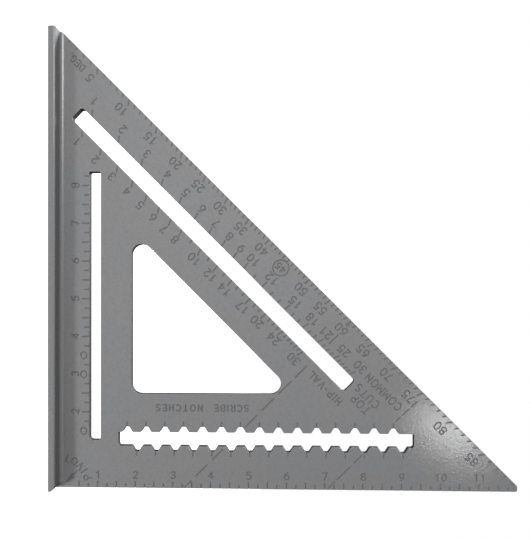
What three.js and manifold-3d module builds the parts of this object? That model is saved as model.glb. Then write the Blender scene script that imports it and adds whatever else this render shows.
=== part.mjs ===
// A 12 inch rafter square (speed square) in die-cast aluminium.
//
// The real tool is one casting with no moving parts. It is modelled as its two working
// members, which meet face to face at the foot of the fence's fillets:
//   fence  the T-shaped bar along one leg, which hooks over the edge of a board
//   blade  the flat right triangle with the scribing slots, the notched channel and the window
//
// Frame: millimetres, +Z up. The square stands on the outer face of its fence, the blade
// rises in the XZ plane, the right-angle corner is at +X, and the scales' face looks along -Y.
// The origin is the middle of the fence's outer face.
//
// Outlines are drawn in the tool's own coordinates: u runs across the blade from the inner
// face of the fence, and v runs along the fence from the ruler edge.

import * as THREE from 'three';
import { mergeVertices } from 'three/addons/utils/BufferGeometryUtils.js';
import Module from 'manifold-3d';

const INCH = 25.4;

// ---- overall ------------------------------------------------------------------------------
const LEG = 12.125 * INCH;              // each leg of the triangle, to its sharp corner
const FENCE_LENGTH = 306.4;             // the fence's square-cut end takes off the sharp apex
const BLADE_THICKNESS = 0.1875 * INCH;
const TIP_U = 304.2;                    // the blade's far corner is cut blunt here
const TIP_RADIUS = 1.2;

// ---- fence --------------------------------------------------------------------------------
const FENCE_WIDTH = 0.875 * INCH;
const FENCE_HEIGHT = 0.1875 * INCH;
const FENCE_OUTER_RADIUS = 0.6;
const FENCE_INNER_RADIUS = 1.0;
const FILLET_RADIUS = 2.7;
const SEAM_U = 3.0;                     // where the two members meet, just past the fillets
const RELIEF_DEPTH = 3.0;               // the ledges are cut back at the right-angle corner
const RELIEF_RUN = 3.6;

// ---- long slots, window -------------------------------------------------------------------
const RIP_SLOT = { u0: 19.5, u1: 27.3, v0: 32.0, v1: 212.6, lowRadius: 2.0, highRadius: 1.0 };
// The rafter slot runs parallel to the hypotenuse. sum is u + v and diff is u - v.
const RAFTER_SLOT = { sum0: 255.6, sum1: 270.6, diff0: -241.3, diff1: 125.0, radius: 2.0 };
const WINDOW = { u0: 48.05, v0: 63.4, sum: 221.9, squareRadius: 6.3, acuteRadius: 7.0 };

// ---- notched scribing channel -------------------------------------------------------------
const CHANNEL = { u0: 39.3, u1: 236.8, v0: 28.3, v1: 37.5 };
const CHANNEL_LOW_RADIUS = 1.5;
const CHANNEL_HIGH_RADIUS = 0.8;
const NOTCH_COUNT = 15;
const NOTCH_PITCH = 0.5 * INCH;
const HIGH_NOTCH_U = 45.4;              // first notch in the channel's upper side
const LOW_NOTCH_U = HIGH_NOTCH_U + NOTCH_PITCH / 2;
const NOTCH_DEPTH = 3.6;
const NOTCH_MOUTH = 7.1;
const NOTCH_FLOOR = 2.6;
const NOTCH_RADIUS = 0.9;

const ARC_SEGMENTS = 3;                 // three.js doubles this along each arc

// ---- outlines -----------------------------------------------------------------------------

// Draws a closed outline from its corners, each [x, y, radius]; a radius of 0 stays sharp.
function traceRounded(path, corners) {
  const count = corners.length;
  corners.forEach(([x, y, radius], i) => {
    const corner = new THREE.Vector2(x, y);
    const toPrevious = new THREE.Vector2(...corners[(i + count - 1) % count]).sub(corner).normalize();
    const toNext = new THREE.Vector2(...corners[(i + 1) % count]).sub(corner).normalize();
    const draw = i === 0 ? 'moveTo' : 'lineTo';
    if (radius === 0) {
      path[draw](x, y);
      return;
    }
    const halfAngle = Math.acos(toPrevious.dot(toNext)) / 2;
    const reach = radius / Math.tan(halfAngle);
    const start = corner.clone().addScaledVector(toPrevious, reach);
    const end = corner.clone().addScaledVector(toNext, reach);
    const toCentre = toPrevious.clone().add(toNext).normalize();
    const centre = corner.clone().addScaledVector(toCentre, radius / Math.sin(halfAngle));
    const turnsRight = toPrevious.cross(toNext) > 0;
    path[draw](start.x, start.y);
    path.absarc(centre.x, centre.y, radius, start.clone().sub(centre).angle(),
      end.clone().sub(centre).angle(), turnsRight);
  });
  path.closePath();
  return path;
}

function bladeOutline() {
  return traceRounded(new THREE.Shape(), [
    [SEAM_U, 0, 0],
    [TIP_U, 0, TIP_RADIUS],
    [TIP_U, LEG - TIP_U, TIP_RADIUS],
    [SEAM_U, LEG - SEAM_U, 0],
  ]);
}

function ripSlot() {
  const { u0, u1, v0, v1, lowRadius, highRadius } = RIP_SLOT;
  return traceRounded(new THREE.Path(), [
    [u0, v0, lowRadius], [u1, v0, lowRadius], [u1, v1, highRadius], [u0, v1, highRadius],
  ]);
}

function rafterSlot() {
  const { sum0, sum1, diff0, diff1, radius } = RAFTER_SLOT;
  const corner = (sum, diff) => [(sum + diff) / 2, (sum - diff) / 2, radius];
  return traceRounded(new THREE.Path(), [
    corner(sum0, diff1), corner(sum1, diff1), corner(sum1, diff0), corner(sum0, diff0),
  ]);
}

function windowHole() {
  const { u0, v0, sum, squareRadius, acuteRadius } = WINDOW;
  return traceRounded(new THREE.Path(), [
    [u0, v0, squareRadius], [sum - v0, v0, acuteRadius], [u0, sum - u0, acuteRadius],
  ]);
}

// The corners of one row of notches. direction is +1 walking along +u and -1 along -u, and
// the notches deepen away from the channel: down on the way out and up on the way back.
function notchRow(firstU, edgeV, direction) {
  const corners = [];
  for (let i = 0; i < NOTCH_COUNT; i += 1) {
    const step = direction > 0 ? i : NOTCH_COUNT - 1 - i;
    const centre = firstU + step * NOTCH_PITCH;
    const floorV = edgeV - direction * NOTCH_DEPTH;
    corners.push(
      [centre - direction * NOTCH_MOUTH / 2, edgeV, NOTCH_RADIUS],
      [centre - direction * NOTCH_FLOOR / 2, floorV, NOTCH_RADIUS],
      [centre + direction * NOTCH_FLOOR / 2, floorV, NOTCH_RADIUS],
      [centre + direction * NOTCH_MOUTH / 2, edgeV, NOTCH_RADIUS],
    );
  }
  return corners;
}

function notchedChannel() {
  const { u0, u1, v0, v1 } = CHANNEL;
  return traceRounded(new THREE.Path(), [
    [u0, v0, CHANNEL_LOW_RADIUS],
    ...notchRow(LOW_NOTCH_U, v0, 1),
    [u1, v0, CHANNEL_LOW_RADIUS],
    [u1, v1, CHANNEL_HIGH_RADIUS],
    ...notchRow(HIGH_NOTCH_U, v1, -1),
    [u0, v1, CHANNEL_HIGH_RADIUS],
  ]);
}

// The fence's section: a bar with a ledge on each side of a short stem, drawn with x across
// the blade's thickness and y = u.
function fenceSection() {
  const bar = FENCE_WIDTH / 2;
  const stem = BLADE_THICKNESS / 2;
  return traceRounded(new THREE.Shape(), [
    [-bar, -FENCE_HEIGHT, FENCE_OUTER_RADIUS],
    [bar, -FENCE_HEIGHT, FENCE_OUTER_RADIUS],
    [bar, 0, FENCE_INNER_RADIUS],
    [stem, 0, FILLET_RADIUS],
    [stem, SEAM_U, 0],
    [-stem, SEAM_U, 0],
    [-stem, 0, FILLET_RADIUS],
    [-bar, 0, FENCE_INNER_RADIUS],
  ]);
}

// ---- solids -------------------------------------------------------------------------------

const wasm = await Module();
wasm.setup();

function extrude(shape, depth) {
  return new THREE.ExtrudeGeometry(shape, { depth, bevelEnabled: false, curveSegments: ARC_SEGMENTS });
}

function toSolid(geometry) {
  const bare = geometry.clone();
  bare.deleteAttribute('normal');
  bare.deleteAttribute('uv');
  const merged = mergeVertices(bare, 1e-4);
  return new wasm.Manifold(new wasm.Mesh({
    numProp: 3,
    vertProperties: new Float32Array(merged.attributes.position.array),
    triVerts: new Uint32Array(merged.index.array),
  }));
}

function toGeometry(solid) {
  const mesh = solid.getMesh();
  const geometry = new THREE.BufferGeometry();
  geometry.setAttribute('position', new THREE.BufferAttribute(mesh.vertProperties, 3));
  geometry.setIndex(new THREE.BufferAttribute(mesh.triVerts, 1));
  geometry.computeVertexNormals();
  return geometry;
}

// Blade outlines are drawn in (u, v) and extruded towards the scales' face.
const BLADE_TO_FRAME = new THREE.Matrix4().set(
  0, -1, 0, FENCE_LENGTH / 2,
  0, 0, -1, BLADE_THICKNESS / 2,
  1, 0, 0, FENCE_HEIGHT,
  0, 0, 0, 1,
);

// The fence's section is drawn in (thickness, u) and extruded along v.
const FENCE_TO_FRAME = new THREE.Matrix4().set(
  0, 0, -1, FENCE_LENGTH / 2,
  -1, 0, 0, 0,
  0, 1, 0, FENCE_HEIGHT,
  0, 0, 0, 1,
);

function bladeGeometry() {
  const outline = bladeOutline();
  outline.holes.push(ripSlot(), rafterSlot(), windowHole(), notchedChannel());
  return extrude(outline, BLADE_THICKNESS).applyMatrix4(BLADE_TO_FRAME);
}

// What the hypotenuse takes off the stem beside the apex.
function apexCut() {
  const past = 1;
  const cutter = traceRounded(new THREE.Shape(), [
    [LEG - FENCE_LENGTH - past, FENCE_LENGTH + past, 0],
    [SEAM_U + past, LEG - SEAM_U - past, 0],
    [SEAM_U + past, FENCE_LENGTH + past, 0],
  ]);
  const depth = BLADE_THICKNESS + 2 * FILLET_RADIUS;
  return extrude(cutter, depth).translate(0, 0, (BLADE_THICKNESS - depth) / 2).applyMatrix4(BLADE_TO_FRAME);
}

// The relief that keeps the ledge on one side clear of the right-angle corner, so that the
// square can pivot on it.
function pivotRelief(side) {
  const past = 1;
  const cutter = traceRounded(new THREE.Shape(), [
    [-RELIEF_DEPTH, -past, 0],
    [SEAM_U + past, -past, 0],
    [SEAM_U + past, RELIEF_RUN, 0],
    [0, RELIEF_RUN, 0],
    [-RELIEF_DEPTH, 0, 0],
  ]);
  const ledge = (FENCE_WIDTH - BLADE_THICKNESS) / 2 + past;
  const start = side > 0 ? BLADE_THICKNESS : -ledge;
  return extrude(cutter, ledge).translate(0, 0, start).applyMatrix4(BLADE_TO_FRAME);
}

function fenceGeometry() {
  const bar = toSolid(extrude(fenceSection(), FENCE_LENGTH).applyMatrix4(FENCE_TO_FRAME));
  const cut = bar
    .subtract(toSolid(apexCut()))
    .subtract(toSolid(pivotRelief(1)))
    .subtract(toSolid(pivotRelief(-1)));
  return toGeometry(cut);
}

// ---- assembly -----------------------------------------------------------------------------

function castAluminium(color, roughness) {
  return new THREE.MeshStandardMaterial({ color, roughness, metalness: 0.9 });
}

function member(name, geometry, material) {
  const mesh = new THREE.Mesh(geometry, material);
  mesh.name = name;
  return mesh;
}

const group = new THREE.Group();
group.name = 'speed_square';
group.add(member('fence', fenceGeometry(), castAluminium(0x8d8f91, 0.5)));
group.add(member('blade', bladeGeometry(), castAluminium(0x87898b, 0.45)));

export default group;
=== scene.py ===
"""A 12 inch cast aluminium rafter square, standing on its fence in a plain white studio.

Outlines and markings are drawn in the tool's own coordinates, in millimetres: u runs across
the blade from the inner face of the fence, v runs along the fence from the ruler edge, and w
rises from the blade's front face.
"""
import math

import bmesh
import bpy
import numpy as np
from mathutils import Matrix, Vector
from mathutils.geometry import delaunay_2d_cdt


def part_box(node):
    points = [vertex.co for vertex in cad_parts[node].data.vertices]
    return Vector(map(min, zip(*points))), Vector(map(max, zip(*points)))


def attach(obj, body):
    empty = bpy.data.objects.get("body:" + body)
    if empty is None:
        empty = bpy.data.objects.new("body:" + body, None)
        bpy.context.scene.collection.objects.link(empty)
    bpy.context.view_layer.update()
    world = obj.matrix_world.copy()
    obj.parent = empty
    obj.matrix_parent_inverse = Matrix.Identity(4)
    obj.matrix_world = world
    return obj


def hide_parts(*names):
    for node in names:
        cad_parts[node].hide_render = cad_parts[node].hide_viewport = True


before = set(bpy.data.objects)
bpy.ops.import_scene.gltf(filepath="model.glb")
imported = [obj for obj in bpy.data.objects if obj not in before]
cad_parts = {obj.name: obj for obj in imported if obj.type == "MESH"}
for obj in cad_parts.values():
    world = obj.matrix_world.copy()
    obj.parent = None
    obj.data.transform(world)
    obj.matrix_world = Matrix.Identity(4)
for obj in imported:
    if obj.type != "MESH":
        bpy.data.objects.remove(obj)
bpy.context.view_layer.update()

MM = 0.001
INCH = 25.4

# ---- the frame's driving dimensions -------------------------------------------------------
fence_low, fence_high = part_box("fence")
blade_low, blade_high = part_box("blade")
SEAM_U = 3.0                                    # the blade starts here, past the fillets
RULER_X = blade_high.x / MM                     # v = 0
FACE_Y = blade_low.y / MM                       # w = 0, the face with the scales
LEDGE_Z = blade_low.z / MM - SEAM_U             # u = 0, the fence's inner face
THICKNESS = (blade_high.y - blade_low.y) / MM
FENCE_WIDTH = (fence_high.y - fence_low.y) / MM
FENCE_LENGTH = (fence_high.x - fence_low.x) / MM
TIP_U = blade_high.z / MM - LEDGE_Z
LEG = (blade_high.x - blade_low.x) / MM + SEAM_U   # u + v along the hypotenuse

TO_FRAME = Matrix((
    (0, -MM, 0, RULER_X * MM),
    (0, 0, -MM, FACE_Y * MM),
    (MM, 0, 0, LEDGE_Z * MM),
    (0, 0, 0, 1),
))

# ---- the blade's openings -----------------------------------------------------------------
TIP_RADIUS = 1.2
RIP_SLOT = dict(u0=19.5, u1=27.3, v0=32.0, v1=212.6, low_radius=2.0, high_radius=1.0)
RAFTER_SLOT = dict(total0=255.6, total1=270.6, diff0=-241.3, diff1=125.0, radius=2.0)
WINDOW = dict(u0=48.05, v0=63.4, total=221.9, square_radius=6.3, acute_radius=7.0)
CHANNEL = dict(u0=39.3, u1=236.8, v0=28.3, v1=37.5, low_radius=1.5, high_radius=0.8)
NOTCH_COUNT = 15
NOTCH_PITCH = INCH / 2
HIGH_NOTCH_U = 45.4
LOW_NOTCH_U = HIGH_NOTCH_U + NOTCH_PITCH / 2
NOTCH_DEPTH = 3.6
NOTCH_MOUTH = 7.1
NOTCH_FLOOR = 2.6
NOTCH_RADIUS = 0.9

# ---- finish of the casting ----------------------------------------------------------------
EDGE_RADIUS = 0.25                              # broken edges of the blade
EDGE_STEPS = 3
ARC_STEP = math.radians(15)
GROOVE_DEPTH = 0.42
GROOVE_FLOOR = 0.35                             # floor's half width, as a share of the mark's
TICK_WIDTH = 1.1
LETTER_WIDTH = 1.05

# ---- plane outlines -----------------------------------------------------------------------

def arc(cx, cy, rx, ry, start, end):
    """Points along an arc of an ellipse; the angles are in degrees."""
    steps = max(2, math.ceil(math.radians(abs(end - start)) / ARC_STEP))
    angles = np.radians(np.linspace(start, end, steps + 1))
    return np.column_stack((cx + rx * np.cos(angles), cy + ry * np.sin(angles)))


def rounded(corners):
    """A closed outline through corners given as (u, v, radius)."""
    points = []
    for i, (u, v, radius) in enumerate(corners):
        corner = np.array((u, v))
        before = np.array(corners[i - 1][:2]) - corner
        after = np.array(corners[(i + 1) % len(corners)][:2]) - corner
        before /= np.linalg.norm(before)
        after /= np.linalg.norm(after)
        if radius == 0:
            points.append(corner[None])
            continue
        half = math.acos(np.dot(before, after)) / 2
        bisector = (before + after) / np.linalg.norm(before + after)
        centre = corner + bisector * radius / math.sin(half)
        start = corner + before * radius / math.tan(half) - centre
        turn = math.pi - 2 * half
        if before[0] * after[1] - before[1] * after[0] > 0:
            turn = -turn
        first = math.degrees(math.atan2(start[1], start[0]))
        points.append(arc(*centre, radius, radius, first, first + math.degrees(turn)))
    return np.concatenate(points)


def blade_outline():
    return rounded([
        (SEAM_U, 0, 0), (TIP_U, 0, TIP_RADIUS), (TIP_U, LEG - TIP_U, TIP_RADIUS),
        (SEAM_U, LEG - SEAM_U, 0),
    ])


def rip_slot(u0, u1, v0, v1, low_radius, high_radius):
    return rounded([
        (u0, v0, low_radius), (u1, v0, low_radius), (u1, v1, high_radius), (u0, v1, high_radius),
    ])


def rafter_slot(total0, total1, diff0, diff1, radius):
    """Its corners are given by u + v, the total, and u - v, the difference."""
    ends = [(total0, diff1), (total1, diff1), (total1, diff0), (total0, diff0)]
    return rounded([((total + diff) / 2, (total - diff) / 2, radius) for total, diff in ends])


def window(u0, v0, total, square_radius, acute_radius):
    return rounded([
        (u0, v0, square_radius), (total - v0, v0, acute_radius), (u0, total - u0, acute_radius),
    ])


def notch_row(first_u, edge_v, direction):
    """One side of the channel: direction is 1 along +u and -1 on the way back."""
    corners = []
    for i in range(NOTCH_COUNT)[::direction]:
        centre = first_u + i * NOTCH_PITCH
        for half, v in (
            (-NOTCH_MOUTH / 2, edge_v), (-NOTCH_FLOOR / 2, edge_v - direction * NOTCH_DEPTH),
            (NOTCH_FLOOR / 2, edge_v - direction * NOTCH_DEPTH), (NOTCH_MOUTH / 2, edge_v),
        ):
            corners.append((centre + direction * half, v, NOTCH_RADIUS))
    return corners


def notched_channel(u0, u1, v0, v1, low_radius, high_radius):
    return rounded([
        (u0, v0, low_radius), *notch_row(LOW_NOTCH_U, v0, 1), (u1, v0, low_radius),
        (u1, v1, high_radius), *notch_row(HIGH_NOTCH_U, v1, -1), (u0, v1, high_radius),
    ])


def offset(points, distance, closed=True):
    """The line moved to its left by distance, with mitred corners."""
    along = np.roll(points, -1, 0) - points
    along /= np.linalg.norm(along, axis=1)[:, None]
    left = np.column_stack((-along[:, 1], along[:, 0]))
    before = np.roll(left, 1, 0)
    if not closed:
        before[0] = left[0]
        left[-1] = before[-1]
    mitre = (before + left) / (1 + np.sum(before * left, axis=1))[:, None]
    return points + distance * mitre


def edge_rings(outline, is_seamed):
    """The outline and the lines inside the material that its rounded edge passes through."""
    rings = []
    for step in range(1, EDGE_STEPS + 1):
        inset = EDGE_RADIUS * (1 - math.cos(math.pi / 2 * step / EDGE_STEPS))
        ring = offset(outline, inset, closed=not is_seamed)
        if is_seamed:
            # The seam isn't an edge, so the rings run straight into it.
            ring[0, 0] = SEAM_U
            ring[-1] = SEAM_U, LEG - SEAM_U - inset * math.sqrt(2)
        rings.append(ring)
    return rings


# ---- lettering ----------------------------------------------------------------------------

def line(*numbers):
    return np.array(numbers, float).reshape(-1, 2)


def joined(*parts):
    return np.concatenate(parts)


def glyphs():
    """Single-stroke characters, one unit tall: each is its width and its strokes."""
    stem = line(0, 0, 0, 1)
    oval = arc(0.31, 0.5, 0.31, 0.5, 90, 450)
    six = [arc(0.31, 0.31, 0.31, 0.31, 180, 540), arc(0.62, 0.31, 0.62, 0.69, 180, 105)]
    return {
        "0": (0.62, [oval]),
        "1": (0.62, [line(0.38, 0, 0.38, 1), line(0.38, 1, 0.12, 0.78)]),
        "2": (0.62, [
            joined(arc(0.31, 0.69, 0.29, 0.31, 165, -40), line(0, 0)), line(0, 0, 0.62, 0),
        ]),
        "3": (0.60, [arc(0.29, 0.76, 0.27, 0.24, 150, -90), arc(0.29, 0.26, 0.31, 0.26, 90, -150)]),
        "4": (0.66, [line(0.5, 0, 0.5, 1), line(0.5, 1, 0, 0.3), line(0, 0.3, 0.66, 0.3)]),
        "5": (0.60, [
            line(0.56, 1, 0.1, 1), line(0.1, 1, 0.05, 0.55), arc(0.28, 0.32, 0.32, 0.32, 135, -145),
        ]),
        "6": (0.62, six),
        "7": (0.60, [line(0, 1, 0.6, 1), line(0.6, 1, 0.2, 0)]),
        "8": (0.60, [arc(0.3, 0.76, 0.26, 0.24, -90, 270), arc(0.3, 0.26, 0.3, 0.26, 90, 450)]),
        "9": (0.62, [(0.62, 1) - stroke for stroke in six]),
        "A": (0.70, [line(0, 0, 0.35, 1), line(0.35, 1, 0.7, 0), line(0.14, 0.36, 0.56, 0.36)]),
        "B": (0.60, [
            stem, line(0, 1, 0.32, 1), arc(0.32, 0.76, 0.24, 0.24, 90, -90),
            line(0, 0.52, 0.32, 0.52), arc(0.32, 0.26, 0.28, 0.26, 90, -90), line(0, 0, 0.32, 0),
        ]),
        "C": (0.66, [arc(0.38, 0.5, 0.38, 0.5, 50, 310)]),
        "D": (0.64, [
            stem, line(0, 1, 0.22, 1), arc(0.22, 0.5, 0.42, 0.5, 90, -90), line(0, 0, 0.22, 0),
        ]),
        "E": (0.54, [stem, line(0, 1, 0.54, 1), line(0, 0.52, 0.46, 0.52), line(0, 0, 0.54, 0)]),
        "G": (0.70, [arc(0.38, 0.5, 0.38, 0.5, 50, 350), line(0.44, 0.44, 0.75, 0.44)]),
        "H": (0.60, [stem, line(0.6, 0, 0.6, 1), line(0, 0.5, 0.6, 0.5)]),
        "I": (0.16, [stem + (0.08, 0)]),
        "L": (0.50, [stem, line(0, 0, 0.5, 0)]),
        "M": (0.72, [
            stem, line(0, 1, 0.36, 0.3), line(0.36, 0.3, 0.72, 1), line(0.72, 1, 0.72, 0),
        ]),
        "N": (0.62, [stem, line(0, 1, 0.62, 0), line(0.62, 0, 0.62, 1)]),
        "O": (0.74, [arc(0.37, 0.5, 0.37, 0.5, 90, 450)]),
        "P": (0.56, [
            stem, line(0, 1, 0.28, 1), arc(0.28, 0.73, 0.28, 0.27, 90, -90),
            line(0, 0.46, 0.28, 0.46),
        ]),
        "R": (0.60, [
            stem, line(0, 1, 0.28, 1), arc(0.28, 0.74, 0.28, 0.26, 90, -90),
            line(0, 0.48, 0.28, 0.48), line(0.3, 0.48, 0.6, 0),
        ]),
        "S": (0.60, [
            joined(arc(0.3, 0.75, 0.28, 0.25, 40, 270), arc(0.3, 0.25, 0.3, 0.25, 90, -140)[1:]),
        ]),
        "T": (0.60, [line(0, 1, 0.6, 1), line(0.3, 1, 0.3, 0)]),
        "U": (0.62, [joined(line(0, 1), arc(0.31, 0.31, 0.31, 0.31, 180, 360), line(0.62, 1))]),
        "V": (0.66, [line(0, 1, 0.33, 0), line(0.33, 0, 0.66, 1)]),
        "-": (0.40, [line(0.04, 0.5, 0.36, 0.5)]),
        ".": (0.10, [line(0.04, 0.02, 0.07, 0.02)]),
        " ": (0.40, []),
    }


GLYPHS = glyphs()
LETTER_GAP = 0.27               # between characters, as a share of the height


def text(words, centre, reading, height, length=None, side=1):
    """The marks of a row of characters, centred on a point, reading along an angle in degrees.
    The height and the length are over the outside of the strokes, and side is -1 on the
    blade's back."""
    size = height - LETTER_WIDTH
    solid = sum(GLYPHS[c][0] for c in words) * size
    gap = LETTER_GAP * height
    if length:
        gap = (length - LETTER_WIDTH - solid) / (len(words) - 1)
    spread = solid + gap * (len(words) - 1)
    angle = math.radians(reading)
    turn = np.array((
        (math.cos(angle), math.sin(angle)), (-side * math.sin(angle), side * math.cos(angle)),
    ))
    marks = []
    start = -spread / 2
    for character in words:
        glyph_width, strokes = GLYPHS[character]
        for stroke in strokes:
            placed = stroke * size + (start, -size / 2)
            marks.append((placed @ turn + centre, LETTER_WIDTH))
        start += glyph_width * size + gap
    return marks


def tick(start, direction, length):
    start, direction = np.array(start), np.array(direction)
    return np.array((start, start + direction * length)), TICK_WIDTH


# ---- the scales ---------------------------------------------------------------------------

DIAGONAL_READING = 135      # along the hypotenuse, from the blade's far corner to its apex
SCALE_HEIGHT = 6.2
LONG_TICK = 4.6
SHORT_TICK = 2.7
RUN_OFF = 0.8               # marks that leave the blade are drawn past its edge
SCALE_SHIFT = 0.6           # the angle scales sit this far along the hypotenuse


def on_diagonal(total, along):
    """A point of the line u + v = total, this far towards the blade's sharp tip from where the
    line through the pivot at 45 degrees crosses it, plus the scales' shift."""
    shift = (along + SCALE_SHIFT) / math.sqrt(2)
    return np.array((total / 2 + shift, total / 2 - shift))


def ray(angle, total):
    """How far along u + v = total a ray from the pivot at an angle from the fence crosses it,
    and the ray's direction."""
    direction = np.array((math.sin(angle), math.cos(angle)))
    return total / math.sqrt(2) * math.tan(angle - math.pi / 4), direction


def angle_mark(angle, scale, words, nudge):
    """A tick that runs into the metal from an edge, with its number if it has one. The number
    is level with the ray's crossing of scale["level"], apart from the nudge."""
    along, direction = ray(angle, scale["edge"])
    start = on_diagonal(scale["edge"], along)
    length = LONG_TICK if words else SHORT_TICK
    direction = direction * scale["inward"]
    marks = [tick(start - direction * RUN_OFF, direction, length + RUN_OFF)]
    if words:
        along, _ = ray(angle, scale["level"])
        centre = on_diagonal(scale["numbers"], along + nudge)
        marks += text(words, centre, DIAGONAL_READING, SCALE_HEIGHT)
    return marks


# Each angle scale by the u + v of its edge, of the line that its numbers are level with and of
# the numbers' middles. inward is 1 where the metal is away from the pivot.
DEGREE_SCALE = dict(edge=LEG, inward=-1, level=301.9, numbers=295.4)
COMMON_SCALE = dict(edge=RAFTER_SLOT["total1"], inward=1, level=277.0, numbers=282.8)
HIP_SCALE = dict(edge=RAFTER_SLOT["total0"], inward=-1, level=250.3, numbers=243.9)
DEGREE_NUDGES = {5: -2.2, 10: -1.8, 40: 0.8, 50: 0.8, 75: -3.2, 85: -0.5}
RINGED_DEGREE = 45
RING_TOTAL = 296.1
RING_RADIUS = 5.3
RING_NUMBER_HEIGHT = 5.2
DEG_HEIGHT = 5.4


def degree_scale():
    marks = []
    for degree in range(1, 90):
        words = str(degree) if degree % 5 == 0 and degree != RINGED_DEGREE else ""
        nudge = DEGREE_NUDGES.get(degree, 0)
        marks += angle_mark(math.radians(degree), DEGREE_SCALE, words, nudge)
    middle = on_diagonal(RING_TOTAL, 0)
    marks.append((arc(*middle, RING_RADIUS, RING_RADIUS, 0, 360), LETTER_WIDTH))
    marks += text(str(RINGED_DEGREE), middle, DIAGONAL_READING, RING_NUMBER_HEIGHT)
    marks += text("DEG.", (11.0, 286.2), DIAGONAL_READING, DEG_HEIGHT)
    return marks


COMMON_RUN = 12
HIP_RUN = 17
LAST_RISE = 30
COMMON_LABELS = (1, 2, 3, 4, 5, 6, 7, 8, 9, 10, 12, 15, 18, 21, 25, 30)
HIP_LABELS = (1, 2, 3, 4, 5, 6, 7, 8, 10, 12, 14, 17, 20, 24, 30)
COMMON_NUDGES = {1: -2.4, 2: -1.1, 10: 1.2, 12: 0.9, 15: 1.4, 21: -1.5}
HIP_NUDGES = {10: 0.7, 12: 0.7, 14: 0.7, 17: 0.7}


def rafter_scale(scale, run, labels, nudges):
    """The rises against a run, along one side of the rafter slot."""
    marks = []
    for rise in range(1, LAST_RISE + 1):
        words = str(rise) if rise in labels else ""
        marks += angle_mark(math.atan(rise / run), scale, words, nudges.get(rise, 0))
    return marks


def rafter_scales():
    return [
        *rafter_scale(COMMON_SCALE, COMMON_RUN, COMMON_LABELS, COMMON_NUDGES),
        *rafter_scale(HIP_SCALE, HIP_RUN, HIP_LABELS, HIP_NUDGES),
        *text("HIP-VAL", (177.9, 67.6), DIAGONAL_READING, 5.8, length=28.8),
        *text("COMMON", (216.7, 65.1), DIAGONAL_READING, SCALE_HEIGHT, length=31.3),
        *text("TOP", (201.4, 56.9), DIAGONAL_READING, SCALE_HEIGHT, length=15.0),
        *text("CUTS", (205.9, 62.4), DIAGONAL_READING, SCALE_HEIGHT, length=20.0),
    ]


RULER_LONG_TICK = 4.1
RULER_SHORT_TICK = 2.6
RULER_NUMBERS_V = 8.8
RULER_NUMBER_HEIGHT = 5.8
NUMBER_SHIFT = 0.2              # the inch numbers sit this far past their ticks


def ruler_scale(side=1):
    """Quarter inches along the ruler edge, as far as the sharp tip leaves room for them."""
    marks = []
    for quarter in range(2, 48):
        length = RULER_LONG_TICK if quarter % 2 == 0 else RULER_SHORT_TICK
        marks.append(tick((quarter * INCH / 4, -RUN_OFF), (0, 1), length + RUN_OFF))
    for inch in range(1, 12):
        centre = (inch * INCH + NUMBER_SHIFT, RULER_NUMBERS_V)
        reading = 0 if side > 0 else 180
        marks += text(str(inch), centre, reading, RULER_NUMBER_HEIGHT, side=side)
    return marks


RING_MARKS = (1.5, 3, 3.5)      # inches along the fence that carry a ring, not a tick
FENCE_LONG_TICK = 4.6
FENCE_SHORT_TICK = 2.9
FENCE_NUMBERS_U = 10.0
FENCE_NUMBER_HEIGHT = 5.9
FENCE_RING_U = 15.9
FENCE_RING_RADII = (2.0, 2.3)     # across the blade and along the fence


def fence_scale():
    """Quarter inches along the fence, as ticks and rings beside the rip slot."""
    edge = RIP_SLOT["u0"]
    marks = []
    for quarter in range(6, 34):
        inch = quarter / 4
        if inch in RING_MARKS:
            ring = arc(FENCE_RING_U, inch * INCH, *FENCE_RING_RADII, 0, 360)
            marks.append((ring, LETTER_WIDTH))
            continue
        length = FENCE_LONG_TICK if quarter % 2 == 0 else FENCE_SHORT_TICK
        marks.append(tick((edge + RUN_OFF, inch * INCH), (-1, 0), length + RUN_OFF))
    for inch in range(2, 9):
        centre = (FENCE_NUMBERS_U, inch * INCH + NUMBER_SHIFT)
        marks += text(str(inch), centre, 90, FENCE_NUMBER_HEIGHT)
    return marks


NOTCH_TICK = 3.0
NOTCH_WORDS_V = 53.9
NOTCH_WORDS_HEIGHT = 5.2


def channel_marks():
    """A tick at the foot of every scribing notch, and the words above them."""
    high_v = CHANNEL["v1"] + NOTCH_DEPTH - RUN_OFF
    low_v = CHANNEL["v0"] - NOTCH_DEPTH + RUN_OFF
    marks = []
    for i in range(NOTCH_COUNT):
        step = i * NOTCH_PITCH
        marks.append(tick((HIGH_NOTCH_U + step, high_v), (0, 1), NOTCH_TICK + RUN_OFF))
        marks.append(tick((LOW_NOTCH_U + step, low_v), (0, -1), NOTCH_TICK + RUN_OFF))
    return [
        *marks, *text("SCRIBE", (115.6, NOTCH_WORDS_V), 180, NOTCH_WORDS_HEIGHT, length=23.4),
        *text("NOTCHES", (80.5, NOTCH_WORDS_V), 180, NOTCH_WORDS_HEIGHT, length=32.0),
    ]


# Dashed lines at 45 degrees, each the difference u - v and the stretches of u that it covers.
DASHED_LINES = (
    (83.4, (
        (84.6, 88.5), (91.6, 99.3), (102.9, 109.8), (125, 132.8), (136, 143.7), (147, 155.2),
        (158, 165.6), (180.7, 186.7), (192.3, 196.5),
    )),
    (179.2, (
        (180, 184.5), (185.9, 194.5), (197.2, 202.2), (225.1, 227.6), (229.1, 233.4), (234.6, 238.3),
    )),
)


def dashed_lines():
    return [
        (line(u0, u0 - difference, u1, u1 - difference), TICK_WIDTH)
        for difference, dashes in DASHED_LINES
        for u0, u1 in dashes
    ]


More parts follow.
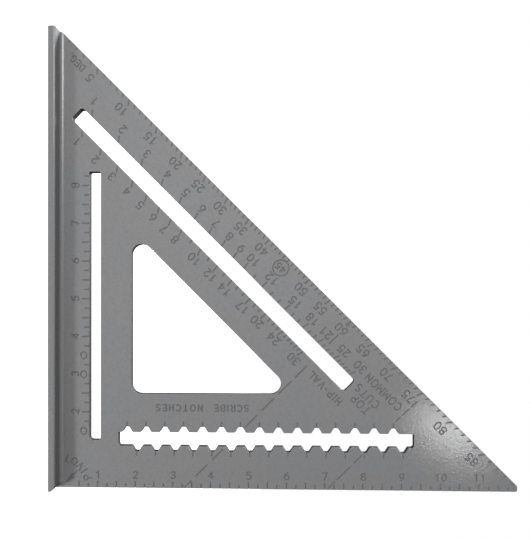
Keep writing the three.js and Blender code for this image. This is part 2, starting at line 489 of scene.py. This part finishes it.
PIVOT_RADIUS = 19.8
PIVOT_ANGLES = (21, 34.5, 47, 61.5, 77.5)
PIVOT_HEIGHT = 6.0
ARROW_TIP = (3.9, 3.7)
ARROW_TAILS = ((8.1, 9.3), (9.6, 7.3), (11.6, 11.4))
ARROW_WIDTH = 0.7


def pivot_marks():
    """The word that follows an arc about the pivot, and the arrow to the pivot."""
    marks = []
    for letter, angle in zip("PIVOT", PIVOT_ANGLES):
        turn = math.radians(angle)
        centre = (PIVOT_RADIUS * math.cos(turn), PIVOT_RADIUS * math.sin(turn))
        marks += text(letter, centre, angle + 90, PIVOT_HEIGHT)
    for tail in ARROW_TAILS:
        marks.append((line(*tail, *ARROW_TIP), ARROW_WIDTH))
    return marks


def front_marks():
    return [
        *degree_scale(), *rafter_scales(), *ruler_scale(), *fence_scale(), *channel_marks(),
        *dashed_lines(), *pivot_marks(),
    ]


def back_marks():
    """The ruler scale again, for the square turned over."""
    return ruler_scale(side=-1)


# ---- faces with recessed marks ------------------------------------------------------------

CAP_DEGREES = 36                # the step along a stroke's round end
CORNER_ANGLE = math.radians(50)


def split_at_corners(points):
    """Breaks a stroke where it turns sharply, so that each part can be outlined by offsets."""
    along = np.diff(points, axis=0)
    angles = np.arctan2(along[:, 1], along[:, 0])
    turns = np.abs((np.diff(angles) + math.pi) % (2 * math.pi) - math.pi)
    cuts = [0, *(np.nonzero(turns > CORNER_ANGLE)[0] + 1), len(points) - 1]
    return [points[a:b + 1] for a, b in zip(cuts, cuts[1:])]


def capsule(points, half):
    """The outline at a distance from an open stroke, with round ends."""
    left = offset(points, half, closed=False)
    right = offset(points, -half, closed=False)
    caps = []
    for centre, start in ((points[-1], left[-1]), (points[0], right[0])):
        spoke = start - centre
        first = math.degrees(math.atan2(spoke[1], spoke[0]))
        angles = np.radians(np.arange(first - CAP_DEGREES, first - 179, -CAP_DEGREES))
        caps.append(centre + half * np.column_stack((np.cos(angles), np.sin(angles))))
    return np.concatenate((left, caps[0], right[::-1], caps[1]))


def mark_outlines(points, width):
    """The lips and the floor lines of one mark."""
    is_closed = len(points) > 4 and np.allclose(points[0], points[-1])
    loops = []
    for half in (width / 2, width / 2 * GROOVE_FLOOR):
        if is_closed:
            loops += [offset(points[:-1], half), offset(points[:-1], -half)]
        else:
            loops += [capsule(part, half) for part in split_at_corners(points)]
    return loops


def nearest(points, segments, reach):
    """The distance from each point to the nearest of the segments, up to reach."""
    order = np.argsort(points[:, 0])
    ordered = points[order]
    found = np.full(len(points), reach)
    for a, b in segments:
        span_u = (min(a[0], b[0]) - reach, max(a[0], b[0]) + reach)
        first, last = np.searchsorted(ordered[:, 0], span_u)
        near = ordered[first:last]
        span = b - a
        share = np.clip((near - a) @ span / max(span @ span, 1e-12), 0, 1)
        gap = np.linalg.norm(near - a - share[:, None] * span, axis=1)
        found[first:last] = np.minimum(found[first:last], gap)
    result = np.empty_like(found)
    result[order] = found
    return result


def is_inside(points, loops):
    """Even-odd test of points against closed outlines."""
    inside = np.zeros(len(points), bool)
    order = np.argsort(points[:, 1])
    u, v = points[order].T
    for loop in loops:
        for (u0, v0), (u1, v1) in zip(loop, np.roll(loop, -1, 0)):
            if v0 == v1:
                continue
            first, last = np.searchsorted(v, (min(v0, v1), max(v0, v1)))
            crossing = u0 + (v[first:last] - v0) * (u1 - u0) / (v1 - v0)
            inside[order[first:last]] ^= u[first:last] < crossing
    return inside


def segments_of(loop, closed=True):
    ends = np.roll(loop, -1, 0)
    return list(zip(loop, ends))[: len(loop) if closed else -1]


def engraved_face(outlines, marks):
    """Triangulates one face of the blade. Returns (u, v, depth, recess) rows and triangles.
    outlines[0] is the outer outline, whose closing line is the seam; the others are holes.
    All of them keep the metal on their left."""
    loops = [(outline, True) for outline in outlines]
    for i, outline in enumerate(outlines):
        loops += [(ring, i > 0) for ring in edge_rings(outline, is_seamed=i == 0)]
    for points, width in marks:
        loops += [(loop, True) for loop in mark_outlines(points, width)]
    vertices, edges = [], []
    for loop, closed in loops:
        first = len(vertices)
        vertices += [Vector(point) for point in loop]
        edges += [(first + i, first + (i + 1) % len(loop)) for i in range(len(loop) - (not closed))]
    made = delaunay_2d_cdt(vertices, edges, [], 0, 1e-5)
    points = np.array([tuple(v) for v in made[0]])
    triangles = np.array(made[2])
    centroids = points[triangles].mean(1)
    triangles = triangles[is_inside(centroids, outlines)]
    kept, triangles = np.unique(triangles, return_inverse=True)
    points, triangles = points[kept], triangles.reshape(-1, 3)

    edge_segments = [s for i, outline in enumerate(outlines) for s in segments_of(outline, i > 0)]
    from_edge = nearest(points, edge_segments, EDGE_RADIUS)
    rise = EDGE_RADIUS - from_edge
    rounding = EDGE_RADIUS - np.sqrt(np.maximum(EDGE_RADIUS ** 2 - rise ** 2, 0))
    recess = np.zeros(len(points))
    for width in sorted({width for _, width in marks}):
        strokes = [s for stroke, w in marks if w == width for s in zip(stroke, stroke[1:])]
        half = width / 2
        from_stroke = nearest(points, strokes, half)
        slope = (half - from_stroke) / (half * (1 - GROOVE_FLOOR))
        recess = np.maximum(recess, np.clip(slope, 0, 1))
    recess[recess < 1e-3] = 0
    return points, rounding + recess * GROOVE_DEPTH, recess, triangles


def border(triangles):
    """Each border vertex of a face and the next one, keeping the material on the left."""
    halves = {(int(t[i]), int(t[(i + 1) % 3])) for t in triangles for i in range(3)}
    return {a: b for a, b in halves if (b, a) not in halves}


def border_chains(points, triangles, outlines):
    """The border vertices along every line of every outline."""
    following = border(triangles)
    indices = np.array(list(following))
    chains = []
    for outline in outlines:
        corners = [
            indices[np.argmin(np.sum((points[indices] - corner) ** 2, axis=1))]
            for corner in outline
        ]
        for here, there in zip(corners, corners[1:] + corners[:1]):
            chain = [int(here)]
            while chain[-1] != there:
                chain.append(following[chain[-1]])
            chains.append(chain)
    return chains


# ---- meshes -------------------------------------------------------------------------------

SHARP_ANGLE = math.radians(38)


def finish_mesh(mesh, name, material):
    """Makes the piece, with crisp creases and flats that stay flat."""
    piece = bpy.data.objects.new(name, mesh)
    bpy.context.scene.collection.objects.link(piece)
    mesh.shade_smooth()
    mesh.set_sharp_from_angle(angle=SHARP_ANGLE)
    mesh.materials.append(material)
    weighted = piece.modifiers.new("flat_normals", "WEIGHTED_NORMAL")
    weighted.keep_sharp = True
    return piece


def add_attribute(mesh, name, values, domain="POINT"):
    layer = mesh.attributes.new(name, "FLOAT", domain)
    layer.data.foreach_set("value", np.asarray(values, np.float32))


def blade_mesh():
    holes = (
        rip_slot(**RIP_SLOT), rafter_slot(**RAFTER_SLOT), window(**WINDOW),
        notched_channel(**CHANNEL),
    )
    outlines = [blade_outline(), *(hole[::-1] for hole in holes)]
    vertices, faces, recesses, rubbed_edges_and_highlights, chains = [], [], [], [], []
    for marks, level, sign in ((front_marks(), 0, -1), (back_marks(), -THICKNESS, 1)):
        points, depth, recess, triangles = engraved_face(outlines, marks)
        first = len(vertices)
        vertices += [(u, v, level + sign * d) for (u, v), d in zip(points, depth)]
        turned = triangles if sign < 0 else triangles[:, ::-1]
        faces += [tuple(int(i) + first for i in t) for t in turned]
        recesses.append(recess)
        # The rounded edges, outside the marks, are lightened in the metal: rubbed metal and a
        # painted highlight.
        rounding = np.clip((depth - recess * GROOVE_DEPTH) / EDGE_RADIUS, 0, 1)
        rubbed_edges_and_highlights.append(np.where(recess > 0, 0, rounding))
        chains.append([[i + first for i in c] for c in border_chains(points, triangles, outlines)])
    open_from = len(faces) + len(outlines[0])       # the outer walls come before the openings'
    faces += [front[::-1] + back for front, back in zip(*chains)]
    mesh = bpy.data.meshes.new("blade_casting")
    mesh.from_pydata(vertices, [], faces)
    # The opening and recess attributes darken the openings' walls and the grooves in the metal's
    # colour: painted shade.
    add_attribute(mesh, "opening", np.arange(len(faces)) >= open_from, "FACE")
    add_attribute(mesh, "recess", np.concatenate(recesses))
    add_attribute(mesh, "rubbed_edge_and_highlight", np.concatenate(rubbed_edges_and_highlights))
    mesh.transform(TO_FRAME)
    return mesh


# ---- the fence ----------------------------------------------------------------------------
FENCE_HEIGHT = LEDGE_Z - fence_low.z / MM
FENCE_OUTER_RADIUS = 0.5
FENCE_INNER_RADIUS = 1.1
FILLET_RADIUS = 2.7
RELIEF_DEPTH = 3.0
RELIEF_RUN = 3.6
CUTTER_PAST = 1.0


def fence_section():
    """The T section as (w from the blade's middle, u)."""
    bar, stem = FENCE_WIDTH / 2, THICKNESS / 2
    return rounded([
        (-bar, -FENCE_HEIGHT, FENCE_OUTER_RADIUS), (bar, -FENCE_HEIGHT, FENCE_OUTER_RADIUS),
        (bar, 0, FENCE_INNER_RADIUS), (stem, 0, FILLET_RADIUS), (stem, SEAM_U, 0),
        (-stem, SEAM_U, 0), (-stem, 0, FILLET_RADIUS), (-bar, 0, FENCE_INNER_RADIUS),
    ])


def prism(name, outline, low, high, place):
    """A closed solid between two copies of an outline; place gives a corner's (u, v, w)."""
    count = len(outline)
    vertices = [place(x, y, end) for end in (low, high) for x, y in outline]
    faces = [tuple(range(count)), tuple(range(count, 2 * count))[::-1]]
    faces += [(i, (i + 1) % count, count + (i + 1) % count, count + i) for i in range(count)]
    mesh = bpy.data.meshes.new(name)
    mesh.from_pydata(vertices, [], faces)
    solid = bmesh.new()
    solid.from_mesh(mesh)
    bmesh.ops.recalc_face_normals(solid, faces=solid.faces)
    solid.to_mesh(mesh)
    solid.free()
    piece = bpy.data.objects.new(name, mesh)
    bpy.context.scene.collection.objects.link(piece)
    return piece


def flat_prism(name, outline, low, high):
    return prism(name, np.array(outline), low, high, lambda u, v, w: (u, v, w))


def fence_cutters():
    past = CUTTER_PAST
    cutters = [flat_prism("apex_cutter", (
        (LEG - FENCE_LENGTH - past, FENCE_LENGTH + past), (SEAM_U + past, LEG - SEAM_U - past),
        (SEAM_U + past, FENCE_LENGTH + past),
    ), -THICKNESS - FILLET_RADIUS, FILLET_RADIUS)]
    relief = (
        (-RELIEF_DEPTH, -past), (SEAM_U + past, -past), (SEAM_U + past, RELIEF_RUN),
        (0, RELIEF_RUN), (-RELIEF_DEPTH, 0),
    )
    reach = (FENCE_WIDTH - THICKNESS) / 2 + past
    cutters.append(flat_prism("front_relief", relief, 0, reach))
    cutters.append(flat_prism("back_relief", relief, -THICKNESS - reach, -THICKNESS))
    return cutters


def fence_mesh():
    middle = -THICKNESS / 2
    bar = prism("fence_bar", fence_section(), 0, FENCE_LENGTH, lambda w, u, v: (u, v, middle + w))
    cutters = fence_cutters()
    for cutter in cutters:
        cut = bar.modifiers.new(cutter.name, "BOOLEAN")
        cut.operation = "DIFFERENCE"
        cut.solver = "EXACT"
        cut.object = cutter
    evaluated = bar.evaluated_get(bpy.context.evaluated_depsgraph_get())
    mesh = bpy.data.meshes.new_from_object(evaluated)
    for piece in (bar, *cutters):
        bpy.data.objects.remove(piece)
    solid = bmesh.new()
    solid.from_mesh(mesh)
    bmesh.ops.remove_doubles(solid, verts=solid.verts, dist=1e-4)
    bmesh.ops.dissolve_limit(
        solid, angle_limit=math.radians(0.5), verts=solid.verts, edges=solid.edges,
    )
    ends = [
        edge for edge in solid.edges
        if len(edge.link_faces) == 2 and edge.calc_face_angle_signed() > SHARP_ANGLE
        and not all(abs(vertex.co.x - SEAM_U) < 1e-3 for vertex in edge.verts)
    ]
    bmesh.ops.bevel(
        solid, geom=ends, offset=EDGE_RADIUS, offset_type="OFFSET", segments=EDGE_STEPS,
        profile=0.5, affect="EDGES", clamp_overlap=True,
    )
    bmesh.ops.triangulate(solid, faces=[face for face in solid.faces if len(face.verts) > 4])
    solid.to_mesh(mesh)
    solid.free()
    mesh.transform(TO_FRAME)
    return mesh


# ---- materials ----------------------------------------------------------------------------

class Nodes:
    """A short way to write a material's nodes."""

    def __init__(self, material):
        material.use_nodes = True           # a material or a world
        self.tree = material.node_tree
        self.tree.nodes.clear()

    def add(self, kind, inputs=None, **settings):
        node = self.tree.nodes.new(kind)
        for key, value in settings.items():
            setattr(node, key, value)
        for key, value in (inputs or {}).items():
            if isinstance(value, bpy.types.NodeSocket):
                self.tree.links.new(value, node.inputs[key])
            else:
                node.inputs[key].default_value = value
        return node

    def noise(self, vector, scale, detail=3.0, roughness=0.5):
        node = self.add("ShaderNodeTexNoise", {
            "Vector": vector, "Scale": scale, "Detail": detail, "Roughness": roughness,
        })
        return node.outputs["Fac"]

    def math(self, operation, a, b):
        return self.add("ShaderNodeMath", {0: a, 1: b}, operation=operation).outputs[0]

    def remap(self, value, low, high, new_low, new_high):
        return self.add("ShaderNodeMapRange", {
            "Value": value, "From Min": low, "From Max": high, "To Min": new_low, "To Max": new_high,
        }).outputs["Result"]

    def mix(self, share, a, b):
        node = self.add("ShaderNodeMix", data_type="RGBA")
        for socket, value in zip((node.inputs[0], node.inputs[6], node.inputs[7]), (share, a, b)):
            if isinstance(value, bpy.types.NodeSocket):
                self.tree.links.new(value, socket)
            else:
                socket.default_value = value
        return node.outputs[2]

    def attribute(self, name):
        return self.add("ShaderNodeAttribute", attribute_name=name).outputs["Fac"]


CLOUD_SCALE = 28.0
MOTTLE_SCALE = 650.0
GRAIN_SCALE = 2600.0


def tinted(color, *factors):
    """A colour times one factor, or times one for each channel, with an alpha of 1."""
    shares = factors * 3 if len(factors) == 1 else factors
    return tuple(min(1, c * share) for c, share in zip(color, shares)) + (1,)


def cast_aluminium(name, face_color, wall_shade, coat_roughness):
    """Bare die-cast aluminium: a fine matt grain and faint clouding under a thin gloss. The
    recesses, and the walls that stand square to the blade's faces, have painted shade in their
    colour and little of the gloss."""
    material = bpy.data.materials.new(name)
    nodes = Nodes(material)
    place = nodes.add("ShaderNodeTexCoord").outputs["Object"]
    clouds = nodes.noise(place, CLOUD_SCALE, detail=4.0)
    mottle = nodes.noise(place, MOTTLE_SCALE, detail=3.0, roughness=0.6)
    grain = nodes.noise(place, GRAIN_SCALE, detail=2.0, roughness=0.6)
    recess = nodes.attribute("recess")
    rubbed_edge_and_highlight = nodes.attribute("rubbed_edge_and_highlight")
    opening = nodes.attribute("opening")
    normal = nodes.add("ShaderNodeNewGeometry").outputs["True Normal"]
    across = nodes.add("ShaderNodeSeparateXYZ", {0: normal}).outputs["Y"]
    flatness = nodes.math("ABSOLUTE", across, 0.0)

    cool = tinted(face_color, 0.975, 1.0, 1.015)
    warm = tinted(face_color, 1.02, 1.0, 0.99)
    color = nodes.mix(nodes.remap(clouds, 0.35, 0.65, 0, 1), cool, warm)
    color = nodes.mix(nodes.remap(mottle, 0.45, 0.75, 0, 0.5), color, tinted(face_color, 0.86))
    # Painted shade: the engraved marks are darkened, standing in for the shade inside their grooves.
    color = nodes.mix(nodes.math("MULTIPLY", recess, 0.45), color, tinted(face_color, 0.45))
    # Wear and painted highlight: the rounded edges are lightened, as rubbed metal and as a stand-in
    # for the highlight along them.
    color = nodes.mix(nodes.math("MULTIPLY", rubbed_edge_and_highlight, 0.6), color, tinted(face_color, 1.25))
    # Painted shade: walls square to the faces are darkened, and the openings' walls darker still,
    # standing in for the shade that falls on them.
    shaded = tinted(face_color, 0.15)
    color = nodes.mix(nodes.remap(flatness, 0.1, 0.4, wall_shade, 0), color, shaded)
    color = nodes.mix(nodes.math("MULTIPLY", opening, 0.8), color, shaded)

    roughness = nodes.remap(mottle, 0.3, 0.7, 0.68, 0.76)
    raw = nodes.math("MAXIMUM", nodes.remap(flatness, 0.45, 0.85, 1, 0), recess)
    coat = nodes.remap(raw, 0, 1, 0.8, 0.05)
    bump = nodes.add("ShaderNodeBump", {"Height": grain, "Strength": 0.12, "Distance": 0.0002})
    coarse = nodes.add("ShaderNodeBump", {
        "Height": mottle, "Strength": 0.18, "Distance": 0.0005, "Normal": bump.outputs["Normal"],
    })
    skin = nodes.add("ShaderNodeBump", {"Height": mottle, "Strength": 0.12, "Distance": 0.0005})
    surface = nodes.add("ShaderNodeBsdfPrincipled", {
        "Base Color": color, "Metallic": 0.7, "Roughness": roughness,
        "Normal": coarse.outputs["Normal"], "Coat Weight": coat,
        "Coat Roughness": coat_roughness, "Coat IOR": 2.0, "Coat Normal": skin.outputs["Normal"],
    })
    output = nodes.add("ShaderNodeOutputMaterial")
    nodes.tree.links.new(surface.outputs[0], output.inputs["Surface"])
    return material


# ---- studio -------------------------------------------------------------------------------

def at(u, v, w):
    """A point in the frame from the tool's own coordinates."""
    return TO_FRAME @ Vector((u, v, w))


CAMERA_EYE = (147.3, 121.1, 335.3)
CAMERA_AIM = (138.46, 120.62, 0)
CAMERA_ROLL = math.radians(0.065)
CAMERA_LENS = 33.66
CAMERA_SHIFT = (-0.0007, 0.0735)


def make_camera():
    """Square on to the blade, about a third of a metre away, with the fence on the left."""
    camera = bpy.data.objects.new("camera", bpy.data.cameras.new("camera"))
    eye = at(*CAMERA_EYE)
    back = (eye - at(*CAMERA_AIM)).normalized()
    right = (TO_FRAME.to_3x3() @ Vector((0, 1, 0))).cross(back).normalized()
    axes = Matrix((right, back.cross(right), back)).transposed().to_4x4()
    camera.matrix_world = Matrix.Translation(eye) @ axes @ Matrix.Rotation(CAMERA_ROLL, 4, "Z")
    camera.data.sensor_width = 36
    camera.data.lens = CAMERA_LENS
    camera.data.shift_x, camera.data.shift_y = CAMERA_SHIFT
    camera.data.clip_start = 0.01
    bpy.context.scene.collection.objects.link(camera)
    bpy.context.scene.camera = camera


def area_light(name, focus, direction, distance, size, power, edge=(0, 1, 0)):
    """A softbox that faces a point from a direction. All of them are in (u, v, w); edge is the
    way its first side runs."""
    turn = TO_FRAME.to_3x3()
    towards = (turn @ Vector(direction)).normalized()
    across = towards.cross(turn @ Vector(edge)).normalized()
    along = across.cross(towards)
    data = bpy.data.lights.new(name, "AREA")
    data.shape = "RECTANGLE"
    data.size, data.size_y = size
    data.energy = power
    lamp = bpy.data.objects.new(name, data)
    axes = Matrix((along, towards.cross(along), towards)).transposed().to_4x4()
    lamp.matrix_world = Matrix.Translation(at(*focus) + towards * distance) @ axes
    bpy.context.scene.collection.objects.link(lamp)


ROOM_LIGHT = 0.212
ROOM_SLOPE = (-0.45, 0.0, -0.15)         # the share it brightens by along X, Y and Z
DARK_COLOR = (0.050, 0.042, 0.035)       # what the metal sees behind the square
DARK_EDGE = (0.50, 0.85)                 # how far a direction points behind as that sets in


def make_world():
    """A white surround to the camera. To the metal, a grey room with a dark cone behind it."""
    world = bpy.data.worlds.new("studio")
    nodes = Nodes(world)
    direction = nodes.add("ShaderNodeTexCoord").outputs["Generated"]
    slope = nodes.add("ShaderNodeVectorMath", {0: direction, 1: ROOM_SLOPE}, operation="DOT_PRODUCT")
    level = nodes.math("MULTIPLY_ADD", slope.outputs["Value"], ROOM_LIGHT)
    level.node.inputs[2].default_value = ROOM_LIGHT
    behind = nodes.add("ShaderNodeSeparateXYZ", {0: direction}).outputs["Y"]
    share = nodes.remap(behind, *DARK_EDGE, 0, 1)
    color = nodes.mix(share, level, DARK_COLOR + (1,))
    room = nodes.add("ShaderNodeBackground", {"Color": color, "Strength": 1})
    white = nodes.add("ShaderNodeBackground", {"Color": (1, 1, 1, 1), "Strength": 1.0})
    seen = nodes.add("ShaderNodeLightPath").outputs["Is Camera Ray"]
    mix = nodes.add("ShaderNodeMixShader", {0: seen, 1: room.outputs[0], 2: white.outputs[0]})
    output = nodes.add("ShaderNodeOutputWorld")
    nodes.tree.links.new(mix.outputs[0], output.inputs["Surface"])
    bpy.context.scene.world = world


FLOOR_HALF = 4.0
FLOOR_GAP = 0.0002


def make_floor():
    """A pale sheet under the square, as white as the surround. Only the camera sees it."""
    mesh = bpy.data.meshes.new("floor")
    corners = [(-1, -1), (1, -1), (1, 1), (-1, 1)]
    mesh.from_pydata([(x * FLOOR_HALF, y * FLOOR_HALF, 0) for x, y in corners], [], [(0, 1, 2, 3)])
    floor = bpy.data.objects.new("floor", mesh)
    bpy.context.scene.collection.objects.link(floor)
    material = bpy.data.materials.new("pale_floor")
    nodes = Nodes(material)
    surface = nodes.add("ShaderNodeBsdfPrincipled", {
        "Base Color": (0.9, 0.9, 0.9, 1), "Roughness": 0.9,
        "Emission Color": (1, 1, 1, 1), "Emission Strength": 1.0,
    })
    output = nodes.add("ShaderNodeOutputMaterial")
    nodes.tree.links.new(surface.outputs[0], output.inputs["Surface"])
    mesh.materials.append(material)
    floor.location.z = fence_low.z - FLOOR_GAP
    floor.visible_shadow = False
    floor.visible_diffuse = False
    floor.visible_glossy = False


def make_lights():
    """The key from the fence's side, a glare on the sharp tip, a strip along the fence's
    fillet, and one lamp for the back face."""
    area_light(
        "key", focus=(120, 100, 0), direction=(-0.765, -0.290, 0.575), distance=4.0,
        size=(0.62, 0.62), power=35.5,
    )
    area_light(
        "glare", focus=(261, 41, 0), direction=(0.313, -0.221, 0.924), distance=1.2,
        size=(0.17, 0.10), power=0.30, edge=(0.88, -0.48, 0),
    )
    area_light(
        "fillet_strip", focus=(5, 285, 0), direction=(0.40, 0.42, 0.81), distance=1.0,
        size=(0.6, 0.2), power=3.4, edge=(0.88, 0, -0.43),
    )
    area_light(
        "back_fill", focus=(120, 100, -5), direction=(0.62, 0.40, -0.68), distance=3.0,
        size=(1.2, 1.2), power=75,
    )


# ---- the scene ----------------------------------------------------------------------------

make_camera()
blade_metal = cast_aluminium(
    "blade_metal", (0.50, 0.50, 0.51), wall_shade=0.2, coat_roughness=0.11,
)
# The fence's copy of the metal is a shade darker than the blade's, though it is the same casting:
# painted shade.
fence_metal = cast_aluminium(
    "fence_metal", (0.455, 0.455, 0.46), wall_shade=0.36, coat_roughness=0.28,
)
blade = finish_mesh(blade_mesh(), "blade_casting", blade_metal)
fence = finish_mesh(fence_mesh(), "fence_casting", fence_metal)
for piece, node, finish in ((blade, "blade", "blade_cast"), (fence, "fence", "fence_cast")):
    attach(piece, "root")
    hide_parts(node)
make_world()
make_floor()
make_lights()
bpy.context.scene.view_settings.view_transform = "Standard"
